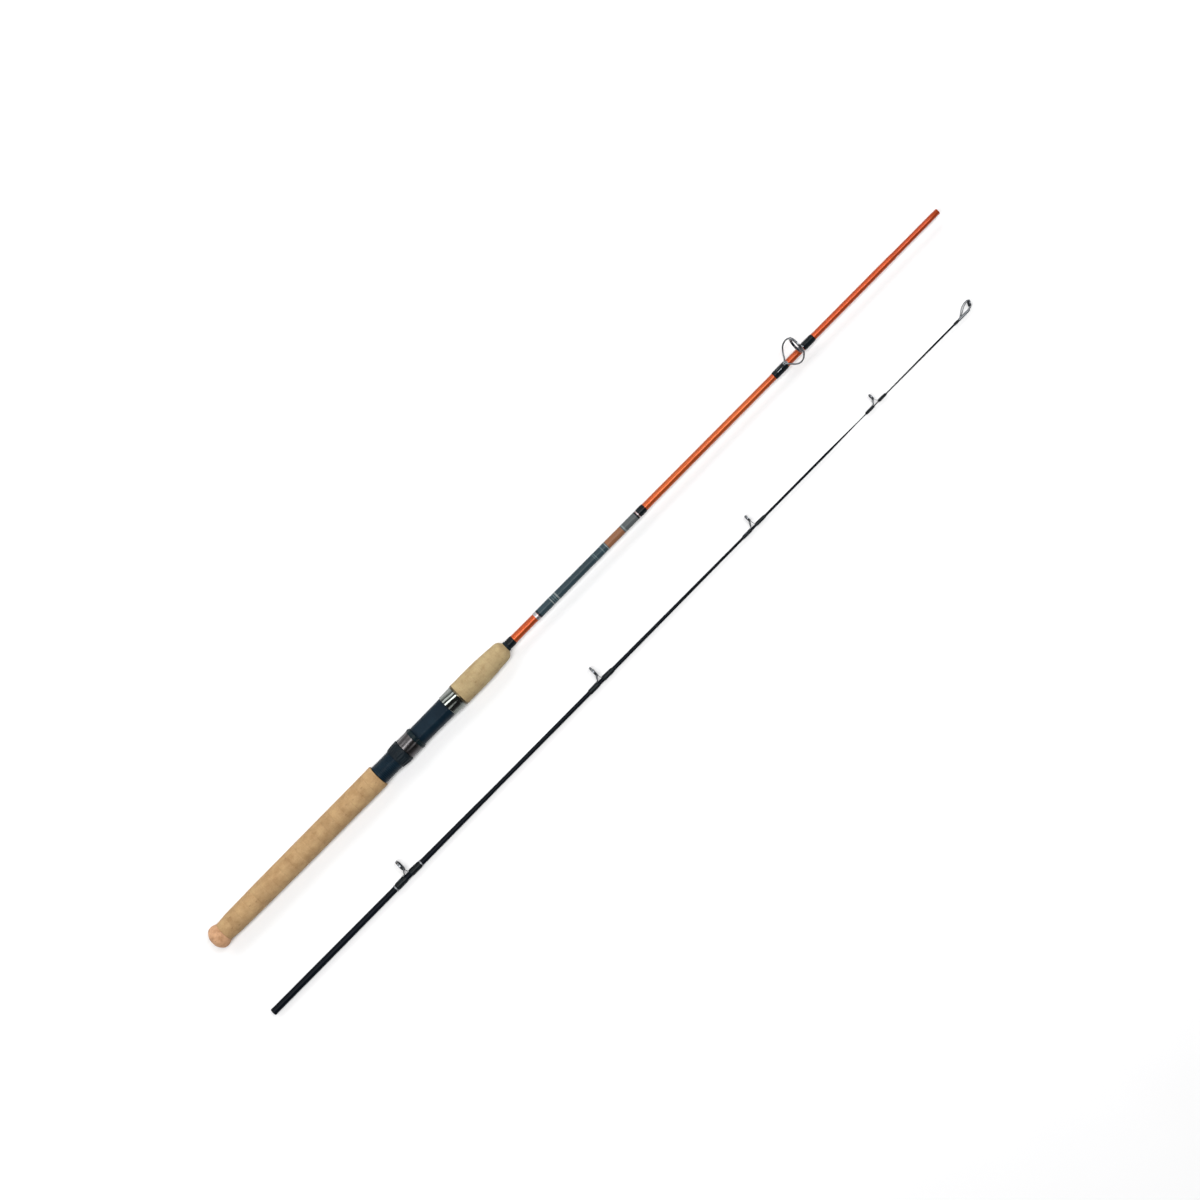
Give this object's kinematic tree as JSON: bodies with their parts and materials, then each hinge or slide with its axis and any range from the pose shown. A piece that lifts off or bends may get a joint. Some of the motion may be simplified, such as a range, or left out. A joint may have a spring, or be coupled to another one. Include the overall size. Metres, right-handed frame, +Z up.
{
  "type": "spinning rod",
  "caption": "Two-piece spinning rod with cork grips, a screw-locking reel seat, orange butt section and dark tip section with line guides, laid out in its two sections.",
  "frame": {"origin": "on the surface the rod lies on, under the centre of the layout's bounding box", "axes": "+X along both sections from butt to tip, +Y from the tip section towards the butt section, +Z up"},
  "size_m": [1.1192, 0.1226, 0.0427],
  "materials": {
    "grip_cork": "sanded, matt",
    "cap_cork": "sanded composite, matt",
    "arbor_cork": "raw",
    "seat_graphite": "satin",
    "nut_black": "satin",
    "lip_black": "satin",
    "stainless_band": "polished",
    "chrome_hood": "polished",
    "gold_trim": "satin",
    "orange_blank": "gloss lacquer",
    "dark_blank": "gloss lacquer",
    "label_film": "gloss, under clear lacquer",
    "silver_trim": "polished",
    "thread_wrap": "thread under gloss epoxy",
    "guide_metal": "smoked, polished",
    "ceramic": "polished"
  },
  "bodies": {
    "butt_section": {"butt_blank": "orange_blank", "butt_cap": "cap_cork", "fixed_hood": "chrome_hood", "fore_grip_cork_1": "grip_cork", "fore_grip_cork_2": "grip_cork", "fore_grip_cork_3": "grip_cork", "grip_wrap": "thread_wrap", "label_sleeve": "label_film", "label_trim_front": "silver_trim", "label_trim_rear": "silver_trim", "rear_grip_cork_1": "grip_cork", "rear_grip_cork_2": "grip_cork", "rear_grip_cork_3": "grip_cork", "rear_grip_cork_4": "grip_cork", "rear_grip_cork_5": "grip_cork", "rear_grip_cork_6": "grip_cork", "rear_grip_cork_7": "grip_cork", "rear_grip_cork_8": "grip_cork", "rear_grip_cork_9": "grip_cork", "reel_seat_body": "seat_graphite", "seat_arbor_1": "arbor_cork", "seat_arbor_2": "arbor_cork", "seat_arbor_3": "arbor_cork", "seat_trim_ring": "gold_trim", "stripper_guide_ceramic": "ceramic", "stripper_guide_frame": "guide_metal", "stripper_guide_front_wrap": "thread_wrap", "stripper_guide_rear_wrap": "thread_wrap", "trim_wrap": "thread_wrap", "winding_check": "nut_black"},
    "movable_hood": {"movable_hood_band": "stainless_band", "movable_hood_lip": "lip_black"},
    "hood_nut": {"hood_nut": "nut_black"},
    "tip_section": {"ferrule_socket": "dark_blank", "guide_1_ceramic": "ceramic", "guide_1_frame": "guide_metal", "guide_1_front_wrap": "thread_wrap", "guide_1_rear_wrap": "thread_wrap", "guide_1_trim_front": "silver_trim", "guide_1_trim_rear": "silver_trim", "guide_2_ceramic": "ceramic", "guide_2_frame": "guide_metal", "guide_2_front_wrap": "thread_wrap", "guide_2_rear_wrap": "thread_wrap", "guide_3_ceramic": "ceramic", "guide_3_frame": "guide_metal", "guide_3_front_wrap": "thread_wrap", "guide_3_rear_wrap": "thread_wrap", "guide_4_ceramic": "ceramic", "guide_4_frame": "guide_metal", "guide_4_front_wrap": "thread_wrap", "guide_4_rear_wrap": "thread_wrap", "tip_blank": "dark_blank", "tip_top_ceramic": "ceramic", "tip_top_frame": "guide_metal", "tip_top_wrap": "thread_wrap"}
  },
  "joints": [
    {"name": "movable_hood_slide", "type": "slide", "parent": "butt_section", "child": "movable_hood", "axis": [1, 0, 0], "range_m": [-0.022, 0.008]},
    {"name": "hood_nut_turn", "type": "hinge", "parent": "movable_hood", "child": "hood_nut", "pos_m": [-0.2634, 0.042, 0.0137], "axis": [1, 0, 0], "range_deg": [-3950, 1430]},
    {"name": "tip_section_carry", "type": "slide", "parent": "butt_section", "child": "tip_section", "axis": [0.9968, 0.0798, 0.0077], "range_m": [0, 1.2408]}
  ],
  "couplings": [
    {"joint": "movable_hood_slide", "follows": "hood_nut_turn", "m_per_rad": 0.00031831}
  ]
}
